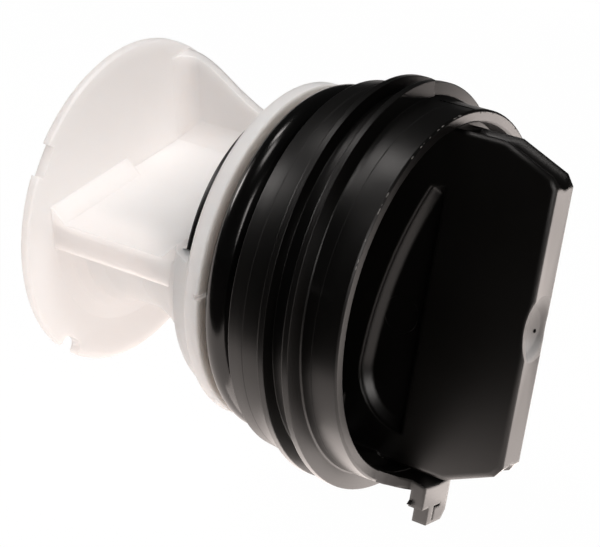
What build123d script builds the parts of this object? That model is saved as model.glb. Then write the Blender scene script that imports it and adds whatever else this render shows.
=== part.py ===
"""Drain pump filter: screw cap with grip, rubber seal ring and snap-on filter insert.

Millimetres. The common axis is Y, the grip points to -Y and lies along Z, X runs across it.
Y = 0 is the back face of the sealing flange, the face that looks into the pump housing.
"""
from build123d import *
import math
import os

os.makedirs("parts", exist_ok=True)

# Cap: cup, skirt and flange
RIM_R = 30.0
RIM_WALL = 2.0
RIM_Y = -19.0
CUP_DEPTH = 12.5
CUP_WALL = 3.6
SKIRT_L = 6.3
ROOT_STEP = 0.4
FLANGE_STEP = 0.6
FLANGE_L = 6.6
FLANGE_SEAM_Y = -2.7
FLANGE_DRAFT = 0.3

# Cap: rib thread
RIB_H = 2.85
RIB_FIRST_H = 2.45
RIB_CREST_W = 1.0
RIB_BACK_W = 0.8
RIB_FRONT_W = 0.4
RIB_FOOT = 0.9
RIB_PITCH = 4.1
RIB_STEP_ANGLE = 91.0
RIB_STEP_BACK = 8.3
RIB_STEP = 0.5
RIB_SWEEP = 210.0
RIB_FIRST_SWEEP = 405.0

# Cap: grip
GRIP_T = 6.4
GRIP_BITE = 0.65
GRIP_TAPER = 3.85
GRIP_SHOULDER = 7.2
GRIP_OUT = 16.6
GRIP_CORNER = 1.2
GRIP_EDGE = 0.5
POCKET_MARGIN = 6.35
POCKET_SAG = 9.35
POCKET_TOP = 2.5
POCKET_BACK = 1.3
POCKET_SHIFT = -2.05
POCKET_D = 1.9
POCKET_SLOPE = 1.2
DIMPLE_D = 10.6
DIMPLE_DEPTH = 1.2

# Cap: lug at the bottom of the rim
LUG_OUT = 5.0
LUG_T = 2.5
LUG_X0 = -3.9
LUG_X1 = 4.2
LUG_NECK_X0 = -1.75
LUG_SINK = 0.7
LUG_STEP_H = 2.7
LUG_TIP_H = 5.7
LUG_RAMP = 10.8
LUG_MARK = 0.35

# Cap: spigot, hollow from the cup and closed at its end
SEAT_R = 23.5
SEAT_L = 7.2
JOURNAL_R = 21.4
BEAD_R = 23.2
BEAD_RAMP = 1.1
SPIGOT_L = 14.0
BORE_R = 19.2
END_T = 1.9

# Seal ring
RING_SECTION_R = 2.65
RING_Y = 4.2
RING_SIDES = 12
RING_STRETCH = 0.15

# Insert: collar that turns on the spigot
TURN_GAP = 0.05
SNAP_GAP = 0.35
COLLAR_R = 27.7
COLLAR_Y = 7.6
COLLAR_L = 3.0
COLLAR_EDGE = 0.5
VENT_ANGLE = 168.0
VENT_W = 0.9
VENT_D = 2.4

# Insert: disc
DISC_R = 27.8
DISC_Y = 41.25
DISC_T = 1.8
NOTCH_FROM = 135.3
NOTCH_TO = 146.6
NOTCH_DEPTH = 1.4
KEY_ANGLE = -137.3
KEY_W = 5.2
KEY_DEPTH = 2.4

# Insert: bell, neck, tray, lip and fin
BELL_R = 27.0
BELL_WALL = 1.5
PLATE_T = 1.5
NECK_R = 15.6
NECK_WALL = 1.8
NECK_FILLET = 5.0
NECK_BANDS = 6
NECK_Y = 28.5
TRAY_TOP = 6.5
TRAY_T = 1.8
LIP_X = -21.2
LIP_T = 1.6
LIP_LOW = 1.4
EAR_TOP = 9.7
GUSSET_TOP = 8.9
GUSSET = 2.6
GUSSET_END = -1.5
FIN_X = 16.6
FIN_T = 1.6
FIN_TOP = 21.7
FIN_FOOT = 8.9
FIN_FILLET = 4.5

# Angle from the grip to the insert, as the object stands
INSERT_TURN = 19.3


def turned(profile):
    """Solid of revolution about Y from (radius, y) points."""
    face = make_face(Polyline(*profile, close=True))
    return revolve(face, axis=Axis.Y)


def turned_lines(lines):
    """Solid of revolution about Y from joined lines and arcs."""
    return revolve(make_face(Curve() + lines), axis=Axis.Y)


def block(x0, x1, y0, y1, z0, z1):
    """Box between two corners."""
    centre = ((x0 + x1) / 2, (y0 + y1) / 2, (z0 + z1) / 2)
    return Pos(*centre) * Box(x1 - x0, y1 - y0, z1 - z0)


def prism_x(face, x0, x1):
    """Prism along X from a face drawn in (y, z)."""
    return extrude(Plane.YZ.offset(x0) * face, amount=x1 - x0)


def poly(points):
    """Face inside a closed polygon."""
    return make_face(Polyline(*points, close=True))


def polar(radius, angle):
    """Point on a circle about Y, angle from +X towards +Z."""
    a = math.radians(angle)
    return (radius * math.cos(a), radius * math.sin(a))


def sector(r0, r1, a0, a1, y0, y1):
    """Piece of a ring about Y between two angles."""
    ring = turned([(r0, y0), (r1, y0), (r1, y1), (r0, y1)])
    reach = r1 * 1.6
    corners = [(0, 0), polar(reach, a0), polar(reach, (a0 + a1) / 2), polar(reach, a1)]
    wedge = extrude(Plane.XZ * poly(corners), amount=200, both=True)
    return ring & wedge


def cove(corner, size):
    """Face that fills a right corner with a hollow round, towards -x and +y."""
    x, y = corner
    k = size * (1 - math.sqrt(0.5))
    arc = ThreePointArc((x - size, y), (x - k, y + k), (x, y + size))
    legs = Polyline((x, y + size), (x, y), (x - size, y))
    return make_face(Curve() + [arc, legs])


# Cap: cup, skirt, flange and spigot as one turned body
cup_r = RIM_R - CUP_WALL
root_r = RIM_R + ROOT_STEP
flange_r = RIM_R + FLANGE_STEP
floor_y = RIM_Y + CUP_DEPTH
end_in = SPIGOT_L - END_T
rim_in = RIM_R - RIM_WALL
collar_y1 = COLLAR_Y + COLLAR_L
bead_y = collar_y1 + SNAP_GAP
cap = turned([
    (0, end_in),
    (BORE_R, end_in),
    (BORE_R, floor_y),
    (cup_r - 1.1, floor_y),
    (cup_r, floor_y - 1.1),
    (cup_r, RIM_Y + 5.0),
    (rim_in, RIM_Y + 3.4),
    (rim_in, RIM_Y + 0.3),
    (rim_in + 0.3, RIM_Y),
    (RIM_R - 0.3, RIM_Y),
    (RIM_R, RIM_Y + 0.3),
    (RIM_R, RIM_Y + SKIRT_L),
    (root_r, RIM_Y + SKIRT_L + 1.2),
    (root_r, -FLANGE_L),
    (flange_r, -FLANGE_L + 0.2),
    (flange_r, FLANGE_SEAM_Y),
    (flange_r - FLANGE_DRAFT, 0),
    (SEAT_R, 0),
    (SEAT_R, SEAT_L),
    (JOURNAL_R, SEAT_L),
    (JOURNAL_R, bead_y),
    (BEAD_R, bead_y + BEAD_RAMP),
    (BEAD_R, SPIGOT_L),
    (0, SPIGOT_L),
])

# Rib thread, made along Z and then laid along Y


def rib(crest_r, sweep_angle, start_angle, start_back):
    """Thread rib with a steep front flank, from its rim end towards the flange."""
    root = RIM_R - 0.8
    height = crest_r - root
    path = Helix(RIB_PITCH, RIB_PITCH * sweep_angle / 360, root)
    plane = Plane(origin=path @ 0, x_dir=(1, 0, 0), z_dir=path % 0)
    half = RIB_CREST_W / 2
    face = plane * poly([
        (0, -half - RIB_BACK_W),
        (height, -half),
        (height, half),
        (1.0, half + RIB_FRONT_W),
        (0, half + RIB_FRONT_W + RIB_FOOT),
    ])
    swept = sweep(face, path=path, is_frenet=True)
    placed = Pos(0, 0, RIM_Y + start_back) * Rot(0, 0, -start_angle) * swept
    return Rot(-90, 0, 0) * placed


rib_end = RIB_STEP_ANGLE + RIB_SWEEP
rib_end_back = RIB_STEP_BACK - RIB_PITCH * RIB_SWEEP / 360
cap = cap + rib(RIM_R + RIB_H, RIB_SWEEP, rib_end, rib_end_back)
cap = cap + rib(RIM_R + RIB_FIRST_H, RIB_FIRST_SWEEP, RIB_STEP_ANGLE, RIB_STEP_BACK + RIB_STEP)

# Grip bar across the cup, with a finger pocket in each face
shoulder_y = RIM_Y - GRIP_SHOULDER
front_y = RIM_Y - GRIP_OUT
half_t = GRIP_T / 2
grip_half = cup_r + GRIP_BITE
grip_front = grip_half - GRIP_TAPER
side = (grip_half - grip_front) / (GRIP_OUT - GRIP_SHOULDER)
corner_z = grip_front + side * GRIP_CORNER
grip_face = poly([
    (floor_y + 1, -grip_half),
    (shoulder_y, -grip_half),
    (front_y + GRIP_CORNER, -corner_z),
    (front_y, -grip_front + GRIP_CORNER),
    (front_y, grip_front - GRIP_CORNER),
    (front_y + GRIP_CORNER, corner_z),
    (shoulder_y, grip_half),
    (floor_y + 1, grip_half),
])
grip = prism_x(grip_face, -half_t, half_t)
grip_rims = grip.faces().sort_by(Axis.X)[0].edges() + grip.faces().sort_by(Axis.X)[-1].edges()
grip = chamfer(grip_rims, GRIP_EDGE)
web_z = math.sqrt(BORE_R ** 2 - half_t ** 2) + 0.3
grip = grip + block(-half_t, half_t, floor_y - 1, end_in + 0.5, -web_z, web_z)

pocket_y = RIM_Y + POCKET_BACK
pocket_w = 2 * (cup_r - POCKET_MARGIN)
pocket_z0 = POCKET_SHIFT - pocket_w / 2
pocket_z1 = POCKET_SHIFT + pocket_w / 2
pocket_low = (pocket_y + POCKET_SAG, POCKET_SHIFT - pocket_w * 0.26)
pocket_side = (pocket_y + POCKET_SAG * 0.82, POCKET_SHIFT + pocket_w * 0.09)
pocket_blunt = (pocket_y + POCKET_TOP, pocket_z1 - POCKET_TOP * 0.25)
pocket_arc = ThreePointArc(pocket_blunt, pocket_side, pocket_low)
pocket_end = TangentArc(pocket_low, (pocket_y, pocket_z0), tangent=pocket_arc % 1)
pocket_edge = Polyline((pocket_y, pocket_z0), (pocket_y, pocket_z1), pocket_blunt)
pocket_face = make_face(Curve() + [pocket_arc, pocket_end, pocket_edge])
pocket = prism_x(pocket_face, half_t - POCKET_D, half_t + 2)
pocket = chamfer(pocket.faces().sort_by(Axis.X)[0].edges(), POCKET_SLOPE)
grip = grip - pocket - mirror(pocket, about=Plane.YZ)

dimple_r = ((DIMPLE_D / 2) ** 2 + DIMPLE_DEPTH ** 2) / (2 * DIMPLE_DEPTH)
grip = grip - Pos(0, front_y + DIMPLE_DEPTH - dimple_r, 0) * Sphere(dimple_r)
cap = cap + grip

# Lug: the rim rises into a small stepped tab
lug_y = RIM_Y - LUG_OUT
lug_back = lug_y + LUG_T
lug_top = RIM_R - LUG_SINK
lug_step = RIM_R + LUG_STEP_H
lug_tip = RIM_R + LUG_TIP_H
ramp = poly([
    (-LUG_RAMP, RIM_Y + 0.5),
    (-LUG_RAMP, RIM_Y),
    (-LUG_RAMP * 0.72, RIM_Y - 0.5),
    (LUG_X0, lug_back),
    (LUG_X0, lug_y),
    (LUG_X1, lug_y),
    (LUG_X1, lug_back),
    (LUG_RAMP * 0.72, RIM_Y - 0.5),
    (LUG_RAMP, RIM_Y),
    (LUG_RAMP, RIM_Y + 0.5),
])
ramp = extrude(ramp, amount=-RIM_R * 2)
tongue = turned([
    (rim_in + 0.1, RIM_Y + 0.5),
    (lug_top - 0.2, lug_y),
    (RIM_R + 0.5, lug_y),
    (RIM_R - 0.05, RIM_Y + 0.5),
])
lug = tongue & ramp
lug = lug + block(LUG_X0, LUG_X1, lug_y, lug_back, -lug_step, -lug_top)
tip_face = poly([
    (LUG_NECK_X0, -lug_step + 0.5),
    (LUG_NECK_X0, -lug_tip),
    (LUG_X1 - 1.2, -lug_tip),
    (LUG_X1 - 0.1, -lug_tip + 1.4),
    (LUG_X1, -lug_step + 0.5),
])
tip = extrude(Plane.XZ.offset(-lug_back) * tip_face, amount=LUG_T)
lug = lug + tip
nub_face = poly([(LUG_X0 - 0.7, -lug_step + 0.5), (LUG_X0 + 0.3, -lug_step), (LUG_X0 + 0.3, -lug_step + 1.3)])
lug = lug + extrude(Plane.XZ.offset(-lug_back) * nub_face, amount=0.8)
mark_x = LUG_NECK_X0 + 1.7
mark_z = -lug_step - 0.4
lug = lug - block(mark_x, mark_x + LUG_MARK, lug_y - 1, lug_y + LUG_MARK, -lug_tip + 0.6, mark_z)
lug = lug - block(mark_x, mark_x + 2.0, lug_y - 1, lug_y + LUG_MARK, mark_z, mark_z + LUG_MARK)
cap = cap + lug

# Seal ring
ring_r = SEAT_R + RING_SECTION_R - RING_STRETCH
ring_points = []
for i in range(RING_SIDES):
    dr, dy = polar(RING_SECTION_R, 360 * i / RING_SIDES)
    ring_points.append((ring_r + dr, RING_Y + dy))
ring = turned(ring_points)

# Insert: plain collar on the journal, trapped by the bead
sleeve_r = JOURNAL_R + TURN_GAP
room_r = BEAD_R + SNAP_GAP
room_y = SPIGOT_L + SNAP_GAP
plate_y = room_y + PLATE_T
collar = turned([
    (sleeve_r, COLLAR_Y),
    (COLLAR_R - 0.25, COLLAR_Y),
    (COLLAR_R, COLLAR_Y + 0.25),
    (COLLAR_R, collar_y1 - COLLAR_EDGE),
    (COLLAR_R - COLLAR_EDGE, collar_y1),
    (sleeve_r, collar_y1),
])

# Insert: disc with its two rim notches
disc = turned([
    (0, DISC_Y),
    (DISC_R - 0.3, DISC_Y),
    (DISC_R, DISC_Y + 0.3),
    (DISC_R, DISC_Y + DISC_T - 0.5),
    (DISC_R - 0.5, DISC_Y + DISC_T),
    (0, DISC_Y + DISC_T),
])
disc_y1 = DISC_Y + DISC_T
disc = disc - sector(DISC_R - NOTCH_DEPTH, DISC_R + 3, NOTCH_FROM, NOTCH_TO, DISC_Y - 1, disc_y1 + 1)
key = block(DISC_R - KEY_DEPTH, DISC_R + 5, DISC_Y - 1, disc_y1 + 1, -KEY_W / 2, KEY_W / 2)
key = fillet(key.faces().sort_by(Axis.X)[0].edges().filter_by(Axis.Y), KEY_W * 0.3)
disc = disc - Rot(0, -KEY_ANGLE, 0) * key

# Insert: bell round the bead, drawn in to a waisted neck below the tray
bell_y = collar_y1 - 0.4
bell_out = room_r + BELL_WALL
waist = NECK_Y - room_y
swell = bell_out - NECK_R
neck_arc = ThreePointArc((bell_out, room_y), (NECK_R + swell * 0.42, room_y + waist * 0.40), (NECK_R, NECK_Y))
neck_bands = [neck_arc @ (i / NECK_BANDS) for i in range(NECK_BANDS + 1)]
neck = turned_lines([
    Polyline((BELL_R, bell_y), (BELL_R, collar_y1), (bell_out, room_y)),
    Polyline(*neck_bands),
    Polyline(
        (NECK_R, NECK_Y),
        (NECK_R, DISC_Y - NECK_FILLET),
        (NECK_R + NECK_FILLET * 0.18, DISC_Y - NECK_FILLET * 0.42),
        (NECK_R + NECK_FILLET * 0.50, DISC_Y - NECK_FILLET * 0.14),
        (NECK_R + NECK_FILLET, DISC_Y),
        (NECK_R + NECK_FILLET, DISC_Y + 0.5),
        (0, DISC_Y + 0.5),
        (0, bell_y),
        (BELL_R, bell_y),
    ),
])
tray_low = TRAY_TOP - TRAY_T
bell = neck & block(-40, 40, bell_y - 1, plate_y, -40, EAR_TOP)
neck = neck & block(-40, 40, plate_y - 0.4, 60, -40, TRAY_TOP)

core = turned_lines([
    ThreePointArc(
        (NECK_R - NECK_WALL + swell * 0.60, plate_y),
        (NECK_R - NECK_WALL + swell * 0.24, room_y + waist * 0.58),
        (NECK_R - NECK_WALL, NECK_Y),
    ),
    Polyline(
        (NECK_R - NECK_WALL, NECK_Y),
        (NECK_R - NECK_WALL, disc_y1 + 1),
        (0, disc_y1 + 1),
        (0, plate_y),
        (NECK_R - NECK_WALL + swell * 0.60, plate_y),
    ),
])
core = core & block(-40, 40, -60, 60, -40, tray_low)
room = turned([(0, collar_y1 - 1), (sleeve_r, collar_y1 - 1), (room_r, collar_y1), (room_r, room_y), (0, room_y)])

# Insert: tray with its near lip and the corner gusset at the disc
tray = block(LIP_X + 0.4, FIN_X - 0.2, plate_y - 0.4, DISC_Y + 0.4, tray_low, TRAY_TOP)
ear = EAR_TOP - TRAY_TOP
lip = prism_x(
    poly([
        (DISC_Y + 0.4, LIP_LOW),
        (DISC_Y + 0.4, GUSSET_TOP),
        (DISC_Y - 0.2, GUSSET_TOP),
        (DISC_Y - GUSSET, TRAY_TOP),
        (plate_y + ear, TRAY_TOP),
        (plate_y, EAR_TOP),
        (room_y, EAR_TOP),
        (room_y, LIP_LOW),
    ]),
    LIP_X,
    LIP_X + LIP_T,
)
gusset = prism_x(
    poly([
        (DISC_Y + 0.4, TRAY_TOP - 0.4),
        (DISC_Y + 0.4, GUSSET_TOP),
        (DISC_Y - 0.2, GUSSET_TOP),
        (DISC_Y - GUSSET, TRAY_TOP),
        (DISC_Y - GUSSET, TRAY_TOP - 0.4),
    ]),
    LIP_X + 0.4,
    GUSSET_END,
)

# Insert: tall fin on the far side, run into disc and tray with hollow rounds
fin_in = FIN_X - FIN_T
span = DISC_Y - room_y
rise = FIN_TOP - FIN_FOOT
fin_top = Spline(
    (DISC_Y, FIN_TOP),
    (DISC_Y - span * 0.185, FIN_FOOT + rise * 0.91),
    (DISC_Y - span * 0.385, FIN_FOOT + rise * 0.63),
    (DISC_Y - span * 0.605, FIN_FOOT + rise * 0.36),
    (room_y, FIN_FOOT),
)
fin_rest = Polyline(
    (room_y, FIN_FOOT),
    (room_y, tray_low),
    (DISC_Y + 0.4, tray_low),
    (DISC_Y + 0.4, FIN_TOP),
    (DISC_Y, FIN_TOP),
)
fin_face = make_face(Curve() + [fin_top, fin_rest])
fin = prism_x(fin_face, fin_in, FIN_X)
fin_wide = prism_x(fin_face, fin_in - FIN_FILLET - 1, FIN_X)
foot_cove = extrude(Plane.XZ * cove((fin_in + 0.2, TRAY_TOP - 0.2), FIN_FILLET), amount=-DISC_Y)
back_cove = extrude(mirror(cove((fin_in + 0.2, -DISC_Y - 0.2), FIN_FILLET), about=Plane.XZ), amount=FIN_TOP)

insert = collar + disc + bell + neck + tray + lip + gusset + fin
insert = insert + (foot_cove & fin_wide) + (back_cove & fin_wide)
insert = insert - core - room

# Insert: small vent notch in the front edge of the collar
vent = block(COLLAR_R - VENT_D, COLLAR_R + 2, COLLAR_Y - 1, COLLAR_Y + VENT_W, -VENT_W / 2, VENT_W / 2)
insert = insert - Rot(0, -VENT_ANGLE, 0) * vent
insert = Rot(0, -INSERT_TURN, 0) * insert

export_step(cap, "parts/screw_cap.step")
export_step(ring, "parts/seal_ring.step")
export_step(insert, "parts/filter_insert.step")
for name, solid in (("cap", cap), ("ring", ring), ("insert", insert)):
    box = solid.bounding_box()
    print(name, len(solid.solids()), round(solid.volume), box.min, box.max)
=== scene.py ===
# %% [markdown]
# # A drain pump filter for the camera
# The real object is three mouldings: a black screw cap with a grip, a rubber seal ring and a milky
# white insert that catches lint. The solids of the part already have the right shapes and places,
# so this lesson builds on them, and adds what they leave out: the scooped ends of the grip, the small
# marks of moulding and use, the seal's soft round section, and finishes that answer to light as
# plastic and rubber do.

import math

import bpy
from mathutils import Matrix, Vector


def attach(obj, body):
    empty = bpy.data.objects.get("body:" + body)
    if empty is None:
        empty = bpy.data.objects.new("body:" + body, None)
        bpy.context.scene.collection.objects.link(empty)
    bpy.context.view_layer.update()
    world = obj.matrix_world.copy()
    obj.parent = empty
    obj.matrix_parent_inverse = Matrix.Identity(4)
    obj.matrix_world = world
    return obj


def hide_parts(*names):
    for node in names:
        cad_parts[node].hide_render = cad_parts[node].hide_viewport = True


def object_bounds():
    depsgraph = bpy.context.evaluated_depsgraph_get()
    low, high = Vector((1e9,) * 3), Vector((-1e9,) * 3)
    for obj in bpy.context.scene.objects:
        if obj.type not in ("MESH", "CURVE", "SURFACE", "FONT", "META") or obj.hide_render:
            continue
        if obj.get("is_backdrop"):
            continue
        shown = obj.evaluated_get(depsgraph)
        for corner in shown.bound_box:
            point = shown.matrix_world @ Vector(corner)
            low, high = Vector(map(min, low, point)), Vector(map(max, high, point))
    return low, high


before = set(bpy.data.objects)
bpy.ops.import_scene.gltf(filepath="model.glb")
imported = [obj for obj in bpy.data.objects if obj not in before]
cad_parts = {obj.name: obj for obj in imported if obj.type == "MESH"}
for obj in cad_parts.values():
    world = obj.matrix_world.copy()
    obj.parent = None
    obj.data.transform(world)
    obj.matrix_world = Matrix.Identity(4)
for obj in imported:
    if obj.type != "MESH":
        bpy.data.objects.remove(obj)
cad_low, cad_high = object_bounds()
MM = 0.001

# %% [markdown]
# ## Writing node trees as sums
# A finish is a small calculation: some noise, a mask, a mix. So is a scatter of chips: a random
# angle, a sine and a cosine. Wrapping a node's output in a class with plus, minus and times lets that
# calculation be read as one line, in a material and in Geometry Nodes alike.


# %% Socket arithmetic
class Signal:
    """One output of a node. Arithmetic on it adds Math nodes to the same tree."""

    def __init__(self, bench, socket):
        self.bench = bench
        self.socket = socket

    def math(self, operation, first, second=0.0):
        return self.bench.node("ShaderNodeMath", {"operation": operation}, {0: first, 1: second})

    def __add__(self, other):
        return self.math("ADD", self, other)

    def __radd__(self, other):
        return self.math("ADD", other, self)

    def __sub__(self, other):
        return self.math("SUBTRACT", self, other)

    def __rsub__(self, other):
        return self.math("SUBTRACT", other, self)

    def __mul__(self, other):
        return self.math("MULTIPLY", self, other)

    def __rmul__(self, other):
        return self.math("MULTIPLY", other, self)

    def __truediv__(self, other):
        return self.math("DIVIDE", self, other)

    def __rtruediv__(self, other):
        return self.math("DIVIDE", other, self)

    def __pow__(self, other):
        return self.math("POWER", self, other)

    def __rpow__(self, other):
        return self.math("POWER", other, self)

    def __lt__(self, other):
        return self.math("LESS_THAN", self, other)

    def __gt__(self, other):
        return self.math("GREATER_THAN", self, other)

    def __abs__(self):
        return self.math("ABSOLUTE", self)

    def sine(self):
        return self.math("SINE", self)

    def cosine(self):
        return self.math("COSINE", self)


# %% [markdown]
# ## One way to make a node
# Nodes differ only in their type, their options and what goes into their sockets, so one method
# serves them all. Options come first, because they can change which sockets a node has.


# %% The bench
class Bench:
    """The nodes of one tree."""

    def __init__(self, tree):
        self.tree = tree
        tree.nodes.clear()

    def node(self, kind, settings=None, sockets=None, out=0):
        """Add a node. A socket gets a value, a signal, or a list of signals if it takes several."""
        made = self.tree.nodes.new(kind)
        for name, value in (settings or {}).items():
            setattr(made, name, value)
        for name, value in (sockets or {}).items():
            values = value if isinstance(value, list) else [value]
            signals = [item for item in values if isinstance(item, Signal)]
            for signal in signals:
                self.tree.links.new(signal.socket, made.inputs[name])
            if not signals:
                made.inputs[name].default_value = value
        return Signal(self, made.outputs[out]) if made.outputs else made

    def vector(self, x, y, z):
        return self.node("ShaderNodeCombineXYZ", {}, {"X": x, "Y": y, "Z": z})

    def parts(self, vector):
        """The three numbers in a vector."""
        first = self.node("ShaderNodeSeparateXYZ", {}, {"Vector": vector})
        return [Signal(self, socket) for socket in first.socket.node.outputs]


# %% [markdown]
# ## Finishes
# Plastic and rubber look even from afar and uneven close up. A photograph of the surface would show
# that at one distance only, so each finish is worked out instead: noise at several sizes, steps that
# turn a measure into a mask, and blends of two colours, all of which end in one shader.


# %% Finish helper
# A Mix node has a set of sockets for every kind of value. These are the ones for colours.
MIX_SHARE, MIX_FIRST, MIX_SECOND, MIX_RESULT = 0, 6, 7, 2


class Finish(Bench):
    """A material, or the world, in the making."""

    def __init__(self, owner):
        owner.use_nodes = True
        self.owner = owner
        super().__init__(owner.node_tree)

    def place(self):
        """Where a point is on the piece, in the part's own frame."""
        return self.node("ShaderNodeTexCoord", out="Object")

    def noise(self, where, scale, detail=2.0):
        return self.node("ShaderNodeTexNoise", {}, {"Vector": where, "Scale": scale, "Detail": detail})

    def step(self, signal, low, high):
        """0 below low, 1 above high, smooth between."""
        sockets = {"Value": signal, "From Min": low, "From Max": high}
        return self.node("ShaderNodeMapRange", {"interpolation_type": "SMOOTHSTEP"}, sockets)

    def blend(self, share, first, second):
        """A colour between two colours."""
        sockets = {MIX_SHARE: share, MIX_FIRST: first, MIX_SECOND: second}
        return self.node("ShaderNodeMix", {"data_type": "RGBA"}, sockets, out=MIX_RESULT)

    def bump(self, height, strength, distance, **more):
        """Relief too fine for geometry, as a shading normal."""
        sockets = {"Strength": strength, "Distance": distance, "Height": height}
        return self.node("ShaderNodeBump", {}, {**sockets, **more})

    def surface(self, **sockets):
        """End the tree in a Principled shader."""
        named = {name.replace("_", " "): value for name, value in sockets.items()}
        shader = self.node("ShaderNodeBsdfPrincipled", {}, named)
        self.node("ShaderNodeOutputMaterial", {}, {"Surface": shader})
        print("finish", self.owner.name, "nodes", len(self.tree.nodes))
        return self.owner


# %% [markdown]
# ## Rounded edges, their wear and a painted highlight
# No moulded edge is truly sharp. A Bevel node turns the shading normal near an edge as if it were
# rounded, and where that normal leaves the true one there is an edge, so the same node also gives
# a mask for a pale line along it: partly the wear of handling, partly a painted highlight.


# %% Edge helper
BEVEL_SAMPLES = 6
EDGE_STARTS = 0.02
EDGE_FULL = 0.22


def rounded_edge(finish, radius):
    """The normal that rounded edges would have. The radius may change over the piece."""
    return finish.node("ShaderNodeBevel", {"samples": BEVEL_SAMPLES}, {"Radius": radius})


def edge_mask(finish, soft):
    """1 on the edges, where a rounded normal leaves the true one."""
    true = finish.node("ShaderNodeNewGeometry", out="Normal")
    dot = {"operation": "DOT_PRODUCT"}
    along = finish.node("ShaderNodeVectorMath", dot, {0: soft, 1: true}, out="Value")
    return finish.step(1 - along, EDGE_STARTS, EDGE_FULL)


# %% [markdown]
# ## Mould seams
# Two halves of the mould meet on the cap's flange and on its skirt, and leave a hair line round each.
# A line at one height needs no geometry: a mask on the object's own Y coordinate is enough, kept to
# the outside of the cap by the distance from its axis.


# %% Seam lines
FLANGE_SEAM_Y = -2.7 * MM
SKIRT_SEAM_Y = -14.65 * MM
SEAM_HALF = 0.04 * MM
SEAM_FADED = 0.11 * MM
SEAM_FROM_R = 29.0 * MM
SEAM_FULL_R = 29.1 * MM


def seam_lines(finish, y, around):
    """1 on the hair lines round the flange and the skirt."""
    flange, skirt = [
        1 - finish.step(abs(y - place), SEAM_HALF, SEAM_FADED) for place in (FLANGE_SEAM_Y, SKIRT_SEAM_Y)]
    return (flange + skirt) * finish.step(around, SEAM_FROM_R, SEAM_FULL_R)


# %% [markdown]
# ## The black cap's plastic
# Polypropylene off a steel mould: nearly black with a warm cast, satin, with a faint orange-peel and
# cloudy patches where the surface cooled at another speed. The seams sink into the bump and are dull.
# The grip and its pockets are rounder to the touch than the rest, so the edge helper gets a larger
# radius there.

# %% Cap finish
PLASTIC_IOR = 1.49
GRIP_FROM_Y = -20.0 * MM
GRIP_FADE = 0.5 * MM
CUP_R = 27.0 * MM
CUP_FADE = 0.4 * MM
EDGE_R = 0.22 * MM
GRIP_EDGE_EXTRA_R = 0.55 * MM
CAP_DARK = (0.0018, 0.0016, 0.0014, 1)
CAP_CLOUDY = (0.0034, 0.0031, 0.0028, 1)
# pale grey for the edges: partly wear, partly painted highlight
CAP_WEAR_AND_PAINTED_HIGHLIGHT = (0.045, 0.043, 0.041, 1)


def cap_finish():
    finish = Finish(bpy.data.materials.new("cap_black_satin"))
    where = finish.place()
    x, y, z = finish.parts(where)
    cloud = finish.noise(where, scale=70.0, detail=3.0)
    peel = finish.noise(where, scale=900.0)
    grain = finish.noise(where, scale=5200.0, detail=1.0)
    around = (x * x + z * z) ** 0.5
    behind_rim = finish.step(y, GRIP_FROM_Y - GRIP_FADE, GRIP_FROM_Y)
    grip = 1 - behind_rim * finish.step(around, CUP_R - CUP_FADE, CUP_R)
    soft = rounded_edge(finish, EDGE_R + grip * GRIP_EDGE_EXTRA_R)
    edge = edge_mask(finish, soft)
    seam = seam_lines(finish, y, around)
    body = finish.blend(cloud, CAP_DARK, CAP_CLOUDY)
    # painted highlight: the pale line on the edges is partly wear and partly a painted highlight, fainter
    # on the grip
    painted_light_mask = edge * (0.35 - grip * 0.22)
    rough = 0.26 + cloud * 0.10 + grain * 0.06 - edge * 0.03 + seam * 0.25
    height = peel * 0.7 + grain * 0.3 - seam * 1.5
    return finish.surface(
        Base_Color=finish.blend(painted_light_mask, body, CAP_WEAR_AND_PAINTED_HIGHLIGHT), Roughness=rough, IOR=PLASTIC_IOR,
        Normal=finish.bump(height, strength=0.10, distance=0.06 * MM, Normal=soft))


cap_black = cap_finish()

# %% [markdown]
# ## The seal's rubber
# A seal ring is smooth, oily black rubber: darker than the cap and shinier, so it shows the studio
# lights as narrow streaks along the ring.

# %% Seal finish
RUBBER_IOR = 1.52
SEAL_DARK = (0.0020, 0.0019, 0.0018, 1)
SEAL_SMEARED = (0.0036, 0.0034, 0.0032, 1)


def seal_finish():
    finish = Finish(bpy.data.materials.new("seal_rubber_oiled"))
    where = finish.place()
    smear = finish.noise(where, scale=160.0, detail=3.0)
    dust = finish.noise(where, scale=3800.0, detail=1.0)
    return finish.surface(
        Base_Color=finish.blend(smear, SEAL_DARK, SEAL_SMEARED), IOR=RUBBER_IOR,
        Roughness=0.11 + smear * 0.10 + dust * 0.04,
        Normal=finish.bump(dust, strength=0.06, distance=0.05 * MM))


seal_black = seal_finish()

# %% [markdown]
# ## The insert's milky plastic
# Uncoloured polypropylene lets light in and scatters it, so thin walls glow and shaded hollows turn
# slightly warm. Subsurface scattering with a longer reach for red gives both. The collar's front face
# sits in the shade between collar and seal, and a mask on the Y coordinate paints that shade on.

# %% Insert finish
COLLAR_Y = 7.6 * MM
# painted shade on the collar's front face, next to the seal
PAINTED_SHADE_FROM = 0.02 * MM
PAINTED_SHADE_TO = 0.55 * MM
PAINTED_SHADE_SHARE = 0.8
INSERT_EDGE_R = 0.35 * MM
INSERT_MILKY = (0.83, 0.795, 0.78, 1)
INSERT_PALE = (0.87, 0.84, 0.83, 1)
INSERT_PAINTED_SHADE = (0.20, 0.20, 0.185, 1)
SCATTER_REACH = 12 * MM
SCATTER_BY_COLOUR = (1.0, 0.90, 0.85)


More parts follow.
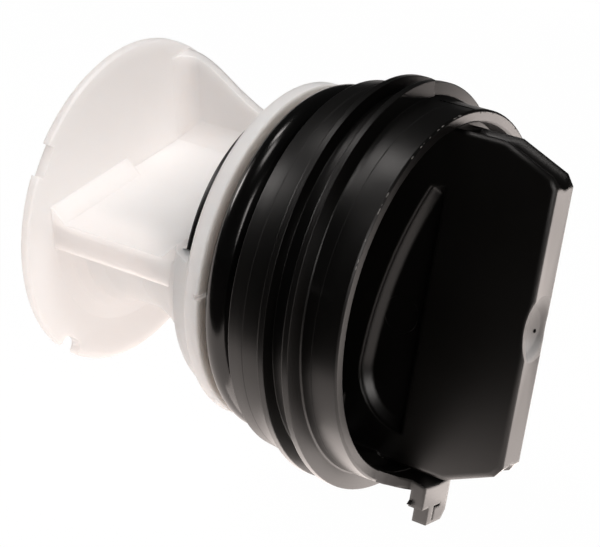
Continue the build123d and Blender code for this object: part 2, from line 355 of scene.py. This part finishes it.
def insert_finish():
    finish = Finish(bpy.data.materials.new("insert_milky_white"))
    where = finish.place()
    cloud = finish.noise(where, scale=60.0, detail=3.0)
    peel = finish.noise(where, scale=700.0)
    soft = rounded_edge(finish, INSERT_EDGE_R)
    axial = finish.parts(where)[1]
    # painted shade: the collar's front face, shaded by the seal, is painted grey
    painted_light_mask = 1 - finish.step(axial, COLLAR_Y - PAINTED_SHADE_FROM, COLLAR_Y + PAINTED_SHADE_TO)
    clean = finish.blend(cloud, INSERT_MILKY, INSERT_PALE)
    return finish.surface(
        Base_Color=finish.blend(painted_light_mask * PAINTED_SHADE_SHARE, clean, INSERT_PAINTED_SHADE), IOR=PLASTIC_IOR,
        Roughness=0.34 + cloud * 0.10 + peel * 0.04,
        Normal=finish.bump(peel, strength=0.08, distance=0.06 * MM, Normal=soft),
        Subsurface_Weight=1.0, Subsurface_Radius=SCATTER_BY_COLOUR, Subsurface_Scale=SCATTER_REACH)


insert_white = insert_finish()

# %% [markdown]
# ## Chipped edges
# Where the rim has been knocked, black plastic turns dull grey. The nicks across the rim's face are dark
# from the shade inside them, which a near-black finish paints on; its low index of refraction keeps it
# from mirroring anything. Both are plain finishes with a little grain, for the small chips that come later.

# %% Chip finishes
PAINTED_SHADE_IOR = 1.06
CHIP_DARK = (0.07, 0.068, 0.066, 1)
CHIP_PALE = (0.30, 0.295, 0.29, 1)
NICK_SHADE_DARK = (0.0008, 0.0008, 0.0008, 1)
NICK_SHADE_PALE = (0.003, 0.003, 0.003, 1)


def chip_finish(name, dark, pale, ior):
    finish = Finish(bpy.data.materials.new(name))
    grain = finish.noise(finish.place(), scale=2600.0)
    return finish.surface(
        Base_Color=finish.blend(grain, dark, pale), Roughness=0.35 + grain * 0.25, IOR=ior)


chip_grey = chip_finish("chip_stressed_grey", CHIP_DARK, CHIP_PALE, PLASTIC_IOR)
# painted shade: a near-black finish that mirrors nothing, for small marks that must read dark
painted_shade_black = chip_finish("chip_deep_black", NICK_SHADE_DARK, NICK_SHADE_PALE, PAINTED_SHADE_IOR)

# %% [markdown]
# ## Dressing the solids
# Each solid is one moulding of one material, so one material slot on its mesh is enough. The finishes
# read the part's own coordinates, so nothing has to be unwrapped first.


# %% Dress the solids
def dress(node, material):
    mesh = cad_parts[node].data
    mesh.materials.clear()
    mesh.materials.append(material)
    print(node, "triangles", len(mesh.polygons))


dress("screw_cap", cap_black)
dress("seal_ring", seal_black)
dress("filter_insert", insert_white)

# %% [markdown]
# ## Recipes in Geometry Nodes
# What follows a path or repeats is made by a node tree with named sizes, not by hand. The tree ends
# in plain mesh with its material on it. The finished mesh is taken off the evaluated object, so that
# the piece that stays is an ordinary one with no modifier left.


# %% Recipe
# A Random Value node has a set of sockets for every kind of value. These are the ones for numbers.
CHANCE_LOW, CHANCE_HIGH, CHANCE_RESULT = 2, 3, 1


class Recipe(Bench):
    """A Geometry Nodes tree with named sizes."""

    def __init__(self, name, sizes):
        super().__init__(bpy.data.node_groups.new(name, "GeometryNodeTree"))
        self.sizes = sizes
        self.keys = {}
        sockets = self.tree.interface
        for label, value in sizes.items():
            kind = "NodeSocketInt" if isinstance(value, int) else "NodeSocketFloat"
            self.keys[label] = sockets.new_socket(label, in_out="INPUT", socket_type=kind).identifier
        sockets.new_socket("Geometry", in_out="OUTPUT", socket_type="NodeSocketGeometry")
        self.enter = self.tree.nodes.new("NodeGroupInput")

    def size(self, label):
        return Signal(self, self.enter.outputs[label])

    def chance(self, low, high, seed):
        """A number between two others, one for each point."""
        sockets = {CHANCE_LOW: low, CHANCE_HIGH: high, "Seed": seed}
        return self.node("FunctionNodeRandomValue", {"data_type": "FLOAT"}, sockets, out=CHANCE_RESULT)

    def circle(self, radius, steps):
        sockets = {"Resolution": steps, "Radius": radius}
        return self.node("GeometryNodeCurvePrimitiveCircle", {"mode": "RADIUS"}, sockets)

    def rod(self, start, end, section):
        """A section carried along a straight line, closed at both ends."""
        line = self.node("GeometryNodeCurvePrimitiveLine", {"mode": "POINTS"}, {"Start": start, "End": end})
        sockets = {"Curve": line, "Profile Curve": section, "Fill Caps": True}
        return self.node("GeometryNodeCurveToMesh", {}, sockets)

    def without(self, mesh, tools):
        """What is left of a mesh when others are taken away from it."""
        settings = {"operation": "DIFFERENCE", "solver": "EXACT"}
        return self.node("GeometryNodeMeshBoolean", settings, {"Mesh 1": mesh, "Mesh 2": tools})

    def smooth_below(self, mesh, limit):
        """Smooth shading, but not across edges that turn by more than the limit."""
        rounded = self.node("GeometryNodeSetShadeSmooth", {"domain": "FACE"}, {0: mesh})
        gentle = self.node("GeometryNodeInputMeshEdgeAngle") < limit
        sockets = {0: rounded, "Shade Smooth": gentle}
        return self.node("GeometryNodeSetShadeSmooth", {"domain": "EDGE"}, sockets)

    def mesh(self, name, geometry, material):
        """Run the tree once, and keep what it makes as a plain mesh."""
        whole = self.node("GeometryNodeRealizeInstances", {}, {"Geometry": geometry})
        dressed = self.node("GeometryNodeSetMaterial", {}, {"Geometry": whole, "Material": material})
        self.node("NodeGroupOutput", {}, {"Geometry": dressed})
        holder = bpy.data.objects.new(name + "_recipe", bpy.data.meshes.new(name + "_recipe"))
        bpy.context.scene.collection.objects.link(holder)
        modifier = holder.modifiers.new("recipe", "NODES")
        modifier.node_group = self.tree
        for label, key in self.keys.items():
            modifier[key] = self.sizes[label]
        ready = holder.evaluated_get(bpy.context.evaluated_depsgraph_get())
        made = bpy.data.meshes.new_from_object(ready)
        holder.modifiers.remove(modifier)
        bpy.data.objects.remove(holder)
        made.name = name
        return made

    def piece(self, name, geometry, material, body, slot):
        """What the tree makes, as a piece that moves with a body."""
        made = bpy.data.objects.new(name, self.mesh(name, geometry, material))
        bpy.context.scene.collection.objects.link(made)
        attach(made, body)
        print(name, "faces", len(made.data.polygons))
        return made


# %% [markdown]
# ## The grip's scooped ends
# Each end of the grip is scooped out lengthways, which leaves a thin wall on either side of a trough.
# Sculpting would do it once; taking round rods away from a copy of the solid does it by named sizes.
# A rod's radius follows from how wide and how deep its trough is, as for any arc over a chord. At the
# top the rods run over the grip's end and down its slope, at the bottom only down the slope, because
# the lug is in the way there.

# %% Scooping rods
RIM_Y = -19.0 * MM
SHOULDER = Vector((0, -26.2, 27.05)) * MM
FRONT = Vector((0, -35.6, 23.2)) * MM
SCOOP_HALF = 2.25 * MM
SCOOP_DEPTH = 1.3 * MM
SCOOP_SPARE = 6 * MM  # how far a rod runs on past the grip
SCOOP_CLEAR = 0.25 * MM  # and how far it stays off the rim
SCOOP_SHY = 0.06 * MM  # a tilt, so that no two faces meet in one plane
ROD_STEPS = 48
MERGE_WITHIN = 0.001 * MM
SMOOTH_BELOW = math.radians(32)
UP = Vector((0, 0, 1))
TOP, BOTTOM = 1, -1

scoop = Recipe("cap_scooped", {
    "Half width": SCOOP_HALF, "Depth": SCOOP_DEPTH, "Merge distance": MERGE_WITHIN,
    "Smooth below": SMOOTH_BELOW})
half, depth = scoop.size("Half width"), scoop.size("Depth")
rod_r = (half * half + depth * depth) / (depth * 2)
lift = rod_r - depth
rod_section = scoop.circle(rod_r, ROD_STEPS)
slope = (FRONT - SHOULDER).normalized()
lean = Vector((0, slope.z, -slope.y))
off_rim = Vector((0, RIM_Y - SCOOP_CLEAR, SHOULDER.z))
past_shoulder = SHOULDER - Vector((0, SCOOP_SPARE, -SCOOP_SHY))
past_front = FRONT + slope * SCOOP_SPARE
rods = []
for start, end, outward, side in (
    (off_rim, past_shoulder, UP, TOP),
    (SHOULDER - slope * SCOOP_SPARE, past_front, lean, TOP),
    (SHOULDER, past_front, lean, BOTTOM),
):
    ends = [
        scoop.vector(0.0, point.y + lift * outward.y, (point.z + lift * outward.z) * side)
        for point in (start, end)]
    rods.append(scoop.rod(ends[0], ends[1], rod_section))
print("rods", len(rods), "slope", [round(value, 3) for value in slope])

# %% [markdown]
# ## Cutting the grip
# The solid comes as loose triangles, so its copy is merged before anything is taken away from it.
# A cut leaves flat shading behind, so the copy is made smooth again, except at real edges.

# %% Scooped grip
solid = scoop.node("GeometryNodeObjectInfo", {"transform_space": "ORIGINAL"}, {
    "Object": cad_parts["screw_cap"]}, out="Geometry")
merged = scoop.node("GeometryNodeMergeByDistance", {}, {
    "Geometry": solid, "Distance": scoop.size("Merge distance")})
scooped = scoop.smooth_below(scoop.without(merged, rods), scoop.size("Smooth below"))
cap = scoop.piece("cap_scooped", scooped, cap_black, "cap", "cap_black")
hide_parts("screw_cap")

# %% [markdown]
# ## The thumb notch
# The notch in the grip's front bites through the near edge and runs out before the far one, while the
# solid has it in the middle. So a small block fills the far half: two boxes, the outer one narrowed like
# the grip's own edge, with a ball that sits to one side taken out of both.

# %% Thumb ball
BALL_X = -3.4 * MM
BALL_DEPTH = 1.2 * MM
BALL_SEGMENTS, BALL_RINGS = 160, 120
GRIP_HALF_T = 3.2 * MM
GRIP_EDGE = 0.5 * MM
BLOCK_HALF_L = 5.6 * MM
BLOCK_DEPTH = 1.5 * MM
SUNK = 0.01 * MM  # keeps the block's faces just under the grip's own

notch = Recipe("notch_block", {
    "Half thickness": GRIP_HALF_T - SUNK, "Half length": BLOCK_HALF_L, "Ball radius": 12.3 * MM,
    "Ball stretch": 1.25, "Smooth below": SMOOTH_BELOW})
half_t, ball_r = notch.size("Half thickness"), notch.size("Ball radius")
ball = notch.node("GeometryNodeMeshUVSphere", {}, {
    "Segments": BALL_SEGMENTS, "Rings": BALL_RINGS, "Radius": ball_r})
thumb = notch.node("GeometryNodeTransform", {}, {
    "Geometry": ball, "Translation": notch.vector(BALL_X, FRONT.y + BALL_DEPTH - ball_r, 0.0),
    "Scale": notch.vector(notch.size("Ball stretch"), 1.0, 1.0)})
print("thumb ball deepest at", round((FRONT.y + BALL_DEPTH) / MM, 2), "mm")

# %% Notch block
x, y, z = notch.parts(notch.node("GeometryNodeInputPosition"))
boxes = []
for low, high, narrowing in (
    (FRONT.y + SUNK, FRONT.y + GRIP_EDGE, GRIP_EDGE / GRIP_HALF_T),
    (FRONT.y + GRIP_EDGE - SUNK, FRONT.y + BLOCK_DEPTH, 0.0),
):
    middle = (low + high) / 2
    cube = notch.node("GeometryNodeMeshCube", {}, {
        "Size": notch.vector(half_t * 2, high - low, notch.size("Half length") * 2)})
    box = notch.node("GeometryNodeTransform", {}, {"Geometry": cube, "Translation": (0, middle, 0)})
    narrowed = notch.node("GeometryNodeSetPosition", {}, {
        "Geometry": box, "Position": notch.vector(x * (1 - (y < middle) * narrowing), y, z)})
    boxes.append(notch.without(narrowed, thumb))
joined = notch.node("GeometryNodeJoinGeometry", {}, {0: boxes})
hollowed = notch.smooth_below(joined, notch.size("Smooth below"))
notch_block = notch.piece("notch_block", hollowed, cap_black, "cap", "cap_black")

# %% [markdown]
# ## The seal ring
# The real seal is a round rubber cord closed into a ring. A lathe could make it, but a circle carried
# along a circle is the same idea with both sizes named, and its shading stays smooth where the solid
# has flats. The same recipe, very thin, also draws round marks that tools leave in the plastic.

# %% Ring recipe
SECTION_STEPS = 24
ABOUT_Y = (math.pi / 2, 0, 0)
ABOUT_X = (0, math.pi / 2, 0)


def hoop(name, ring_r, section_r, centre, turn, steps, material, slot):
    """A round section carried round a circle. turn lays the circle's axis."""
    recipe = Recipe(name, {
        "Ring radius": ring_r, "Section radius": section_r, "Steps": steps, "Section steps": SECTION_STEPS})
    path = recipe.circle(recipe.size("Ring radius"), recipe.size("Steps"))
    section = recipe.circle(recipe.size("Section radius"), recipe.size("Section steps"))
    tube = recipe.node("GeometryNodeCurveToMesh", {}, {"Curve": path, "Profile Curve": section})
    smooth = recipe.node("GeometryNodeSetShadeSmooth", {}, {0: tube})
    placed = recipe.node("GeometryNodeTransform", {}, {
        "Geometry": smooth, "Translation": centre, "Rotation": turn})
    return recipe.piece(name, placed, material, "cap", slot)


# %% Seal ring
RING_R = 26.0 * MM
RING_SECTION_R = 2.65 * MM
RING_PLACE = (0, 4.2 * MM, 0)
RING_STEPS = 144
seal = hoop(
    "seal_ring_round", RING_R, RING_SECTION_R, RING_PLACE, ABOUT_Y, RING_STEPS, seal_black, "seal_rubber")
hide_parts("seal_ring")

# %% [markdown]
# ## Tool marks
# An ejector pin has pushed on the floor of each finger pocket and left a hair-thin ring, and plastic
# came in through a gate in the middle of the dimple, where a small pip was twisted off.

# %% Pin rings and gate pip
PIN_R = 3.0 * MM
PIN_LINE = 0.05 * MM
PIN_X, PIN_Y, PIN_Z = 1.3 * MM, -13.0 * MM, -4.0 * MM
PIN_STEPS = 64
GATE_R = 0.20 * MM
GATE_LINE = 0.13 * MM
GATE_PLACE = (0.69 * MM, -34.84 * MM, -0.6 * MM)
GATE_STEPS = 20
for name, pin_x in (("pin_ring_near", -PIN_X), ("pin_ring_far", PIN_X)):
    hoop(name, PIN_R, PIN_LINE, (pin_x, PIN_Y, PIN_Z), ABOUT_X, PIN_STEPS, cap_black, "cap_black")
# painted shade: the pip gets the near-black finish with no gloss, so it reads as a dark dot
hoop("gate_pip", GATE_R, GATE_LINE, GATE_PLACE, ABOUT_Y, GATE_STEPS, painted_shade_black, "cap_black")

# %% [markdown]
# ## Flecks
# A cap like this is turned out with pliers or a coin sooner or later, and it shows. Every chip could be
# cut by hand, but they all lie on bands of a cylinder and differ only in place and size, so one recipe
# with a seed strews small flecks over such a band, long side round it.

# %% Fleck recipe
SMALLEST_FLECK = 0.45


def flecks(name, sizes, material):
    """Small flecks on a band of a cylinder about Y."""
    recipe = Recipe(name, sizes)
    size, seed = recipe.size, recipe.size("Seed")
    around = recipe.chance(size("From angle"), size("To angle"), seed)
    along = recipe.chance(size("From Y"), size("To Y"), seed + 1)
    out = recipe.chance(size("Radius") - size("Spread"), size("Radius") + size("Spread"), seed + 2)
    place = recipe.vector(out * around.cosine(), along, out * around.sine())
    points = recipe.node("GeometryNodePoints", {}, {"Count": size("Count"), "Position": place})
    fleck = recipe.node("GeometryNodeMeshIcoSphere", {}, {"Radius": 1.0, "Subdivisions": 1})
    turned = recipe.vector(0, math.pi / 2 - around, 0)
    spin = recipe.node("FunctionNodeEulerToRotation", {}, {"Euler": turned})
    grow = recipe.chance(SMALLEST_FLECK, 1.0, seed + 3)
    scale = recipe.vector(size("Length") * grow, size("Axial width") * grow, size("Radial width") * grow)
    strewn = recipe.node("GeometryNodeInstanceOnPoints", {}, {
        "Points": points, "Instance": fleck, "Rotation": spin, "Scale": scale})
    return recipe.piece(name, strewn, material, "cap", "cap_black")


# %% [markdown]
# ## Chips, nicks and crumbs
# Pale chips run along the rim's outer corner, painted shade of nicks lies across its front face, and
# crumbs of flash, painted as dark as shade, follow the line where the mould's slides meet, in front of
# the thread's blunt end. They are three sets of sizes for the one recipe.

# %% Three kinds of fleck
flecks("rim_chips", {
    "Count": 20, "From angle": math.radians(96), "To angle": math.radians(164), "Radius": 29.85 * MM,
    "Spread": 0.04 * MM, "From Y": -18.90 * MM, "To Y": -18.80 * MM, "Length": 0.45 * MM,
    "Axial width": 0.13 * MM, "Radial width": 0.13 * MM, "Seed": 7}, chip_grey)
# painted shade: dark flecks on the rim's face stand for the shade inside its nicks
flecks("rim_nicks", {
    "Count": 7, "From angle": math.radians(52), "To angle": math.radians(92), "Radius": 29.55 * MM,
    "Spread": 0.12 * MM, "From Y": -19.0 * MM, "To Y": -18.99 * MM, "Length": 0.22 * MM,
    "Axial width": 0.03 * MM, "Radial width": 0.30 * MM, "Seed": 3}, painted_shade_black)
# painted shade: the crumbs get the near-black finish with no gloss, so they read dark
flecks("flash_crumbs", {
    "Count": 16, "From angle": math.radians(90.3), "To angle": math.radians(91.0), "Radius": 30.0 * MM,
    "Spread": 0.02 * MM, "From Y": -14.6 * MM, "To Y": -10.9 * MM, "Length": 0.16 * MM,
    "Axial width": 0.30 * MM, "Radial width": 0.12 * MM, "Seed": 5}, painted_shade_black)

# %% [markdown]
# ## The flash line
# From the thread's blunt end a raised hair line runs straight to the rim. It follows a path, so it is
# a thin rod on a line, half sunk in the skirt.

# %% Flash line
FLASH_ANGLE = math.radians(90.6)
FLASH_R = 30.0 * MM
HAIR_STEPS = 10
flash = Recipe("flash_line", {"Section radius": 0.06 * MM, "From Y": -10.6 * MM, "To Y": -18.6 * MM})
across, upward = FLASH_R * math.cos(FLASH_ANGLE), FLASH_R * math.sin(FLASH_ANGLE)
first, last = [flash.vector(across, flash.size(label), upward) for label in ("From Y", "To Y")]
hair = flash.rod(first, last, flash.circle(flash.size("Section radius"), HAIR_STEPS))
# painted shade: the near-black finish with no gloss makes the hair line read dark
flash.piece("flash_line", hair, painted_shade_black, "cap", "cap_black")

# %% [markdown]
# ## The floor
# A sheet of pale paper under the object. To the camera it is mostly a plain white glow, which hides
# where it ends, and the little that is left of its own surface still takes the object's shadow. In
# the gloss of the black parts it stays dark, because the lamps that lie on it are what shows there.

# %% Floor
SWEEP = 3.0
FLOOR_DROP = 2 * MM
WHITE = (1, 1, 1, 1)
PAPER_GREY = (0.85, 0.85, 0.85, 1)
PAPER_GLOW = 1.02
GLOW_SEEN = 0.97
DARK_MIRRORED = 0.95
floor_z = cad_low.z - FLOOR_DROP
corners = [(x * SWEEP, y * SWEEP, floor_z) for x, y in ((-1, -1), (1, -1), (1, 1), (-1, 1))]
floor_mesh = bpy.data.meshes.new("studio_floor")
floor_mesh.from_pydata(corners, [], [(0, 1, 2, 3)])
floor = bpy.data.objects.new("studio_floor", floor_mesh)
bpy.context.scene.collection.objects.link(floor)
floor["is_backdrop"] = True

paper = Finish(bpy.data.materials.new("studio_paper"))
seen = paper.node("ShaderNodeLightPath", out="Is Camera Ray")
mirrored = paper.node("ShaderNodeLightPath", out="Is Glossy Ray")
matt = paper.node("ShaderNodeBsdfDiffuse", {}, {"Color": PAPER_GREY})
glow = paper.node("ShaderNodeEmission", {}, {"Color": WHITE, "Strength": PAPER_GLOW * seen})
sheet = paper.node("ShaderNodeMixShader", {}, {
    0: seen * GLOW_SEEN + mirrored * DARK_MIRRORED, 1: matt, 2: glow})
paper.node("ShaderNodeOutputMaterial", {}, {"Surface": sheet})
floor_mesh.materials.append(paper.owner)
print("floor at", round(floor_z / MM, 2), "mm")

# %% [markdown]
# ## The room
# Behind the floor's edge the camera sees white. The room itself gives only a breath of light from all
# sides, so that the lamps decide what the object looks like.

# %% World
ROOM_LIGHT = 0.03
world = bpy.data.worlds.new("studio_world")
bpy.context.scene.world = world
sky = Finish(world)
seen = sky.node("ShaderNodeLightPath", out="Is Camera Ray")
room = sky.node("ShaderNodeBackground", {}, {"Color": WHITE, "Strength": ROOM_LIGHT})
backdrop = sky.node("ShaderNodeBackground", {}, {"Color": WHITE, "Strength": 1.0})
air = sky.node("ShaderNodeMixShader", {}, {0: seen, 1: room, 2: backdrop})
sky.node("ShaderNodeOutputWorld", {}, {"Surface": air})
print("room light", ROOM_LIGHT)

# %% [markdown]
# ## The camera
# The photograph was taken from the handle's side, a little above the axis, with a long lens and the
# camera rolled a few degrees. Its place was found by fitting the circles of the cap and the disc.

# %% Camera
CAMERA_PLACE = Vector((-0.27753, -0.15903, 0.08163))
CAMERA_RIGHT = Vector((0.54238, -0.82522, 0.15758)).normalized()
CAMERA_BACK = Vector((-0.82985, -0.49698, 0.25369)).normalized()
CAMERA_UP = CAMERA_BACK.cross(CAMERA_RIGHT).normalized()
IMAGE_WIDTH = 600
FOCAL_PIXELS = 2074.6
SENSOR_WIDTH = 36.0

lens = bpy.data.cameras.new("photo_camera")
lens.sensor_width = SENSOR_WIDTH
lens.sensor_fit = "HORIZONTAL"
lens.lens = FOCAL_PIXELS * SENSOR_WIDTH / IMAGE_WIDTH
lens.clip_start = 0.01
lens.clip_end = 20.0
camera = bpy.data.objects.new("photo_camera", lens)
bpy.context.scene.collection.objects.link(camera)
turn = Matrix((CAMERA_RIGHT, CAMERA_UP, CAMERA_BACK)).transposed().to_4x4()
camera.matrix_world = Matrix.Translation(CAMERA_PLACE) @ turn
bpy.context.scene.camera = camera
print("camera", [round(value, 3) for value in camera.location], "lens", round(lens.lens, 1))

# %% [markdown]
# ## The lamps
# Gloss is drawn by lamps: on black plastic each panel shows as a streak where the surface mirrors it, so
# small panels stand where the streaks of the ring, the flange and the grip's edges call for them, and
# wide ones lie on the table to light what faces down. A lamp is given by its radiance, the brightness
# that its mirror image has, and the watts follow from its size.


# %% Lamp helpers
WARM = (1.0, 0.955, 0.93)
TABLE_WARM = (1.0, 0.90, 0.85)
MIDDLE = (0, 10 * MM, 0)


def panel(name, towards, away, size, radiance, aim=MIDDLE):
    """A soft lamp of even brightness, out in a direction of the part's own frame."""
    data = bpy.data.lights.new(name, "AREA")
    data.shape = "RECTANGLE"
    data.size, data.size_y = size
    data.energy = radiance * math.pi * data.size * data.size_y
    data.color = WARM
    lamp = bpy.data.objects.new(name, data)
    bpy.context.scene.collection.objects.link(lamp)
    place = Vector(aim) + Vector(towards).normalized() * away
    lamp.location = place
    lamp.rotation_mode = "QUATERNION"
    lamp.rotation_quaternion = (Vector(aim) - place).to_track_quat("-Z", "Y")
    lamp.visible_camera = False
    print(name, "watts", round(data.energy, 2))
    return lamp


def table(name, x, y, radiance, lift):
    """A lamp that lies just over the floor, between two X and two Y, and shines up."""
    under = (sum(x) / 2, sum(y) / 2, 0)
    size = (x[1] - x[0], y[1] - y[0])
    lamp = panel(name, (0, 0, -1), -floor_z - lift, size, radiance, aim=under)
    lamp.data.color = TABLE_WARM
    return lamp


def share(lamp, state, *pieces):
    """Let a lamp reach only these pieces (INCLUDE), or all but them (EXCLUDE)."""
    group = bpy.data.collections.new(lamp.name + "_reach")
    for piece in pieces:
        group.objects.link(piece)
    for entry in group.collection_objects:
        entry.light_linking.link_state = state
    lamp.light_linking.receiver_collection = group


# %% [markdown]
# ## Lamps for the white insert
# White plastic needs far less variety than black, and would clip under the same lamps. So light linking
# gives the insert four soft ones of its own: from above, from behind, from the camera's side and from
# the table.

# %% White lamps
white_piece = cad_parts["filter_insert"]
for lamp in (
    panel("lamp_white_key", (-0.28, -0.36, 0.88), 0.8, (0.6, 0.6), radiance=7.2),
    panel("lamp_white_back", (0.45, 0.85, 0.28), 0.6, (0.4, 0.4), radiance=1.5),
    panel("lamp_white_fill", (-0.80, -0.30, -0.05), 0.8, (0.6, 0.6), radiance=0.7),
    table("lamp_white_table", (-0.30, 0.40), (-0.4, 0.4), radiance=0.85, lift=0.5 * MM),
):
    share(lamp, "INCLUDE", white_piece)

# %% [markdown]
# ## Lamps for the black parts
# All of these pass the insert by. One from the side would put a second streak on the seal, so it passes
# the seal by too, and the thumb notch, which is hollow and turned away from the rest, has one alone.

# %% Black lamps
for lamp in (
    panel("lamp_over", (-0.12, 0.33, 0.94), 0.6, (0.10, 0.14), radiance=8.0),
    panel("lamp_far", (-0.15, 0.93, 0.33), 0.6, (0.14, 0.14), radiance=8.0),
    panel("lamp_front", (-0.55, -0.75, 0.34), 0.6, (0.25, 0.25), radiance=5.0),
    panel("lamp_edge", (-0.39, 0.06, 0.92), 0.6, (0.16, 0.16), radiance=4.5),
    panel("lamp_behind", (0.86, 0.50, -0.02), 0.8, (0.5, 0.35), radiance=0.8),
    table("lamp_table_far", (0.30, 0.95), (-0.43, -0.10), radiance=5.5, lift=0.6 * MM),
    table("lamp_table", (-0.055, 0.45), (-0.4, 0.4), radiance=1.3, lift=0.5 * MM),
    table("lamp_table_right", (0.012, 0.30), (-0.30, -0.025), radiance=2.15, lift=1.0 * MM),
    table("lamp_under", (-0.025, 0.06), (-0.035, 0.006), radiance=2.1, lift=0.8 * MM),
):
    share(lamp, "EXCLUDE", white_piece)
lamp_side = panel("lamp_side", (-0.42, 0.69, 0.59), 0.6, (0.14, 0.14), radiance=7.0)
share(lamp_side, "EXCLUDE", white_piece, seal)
lamp_notch = panel("lamp_notch", (0.66, -0.74, 0.10), 0.45, (0.40, 0.32), radiance=5.5)
share(lamp_notch, "INCLUDE", notch_block)

# %% [markdown]
# ## Sizes
# The view shows colours as they are written. Last, the box of the dressed object is set beside the box
# of the solids, because looks must not change the object's size.

# %% Sizes and finish
bpy.context.scene.view_settings.view_transform = "Standard"
seen_low, seen_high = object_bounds()
grown = (seen_high - seen_low) - (cad_high - cad_low)
print("grown by", [round(side / MM, 3) for side in grown], "mm")
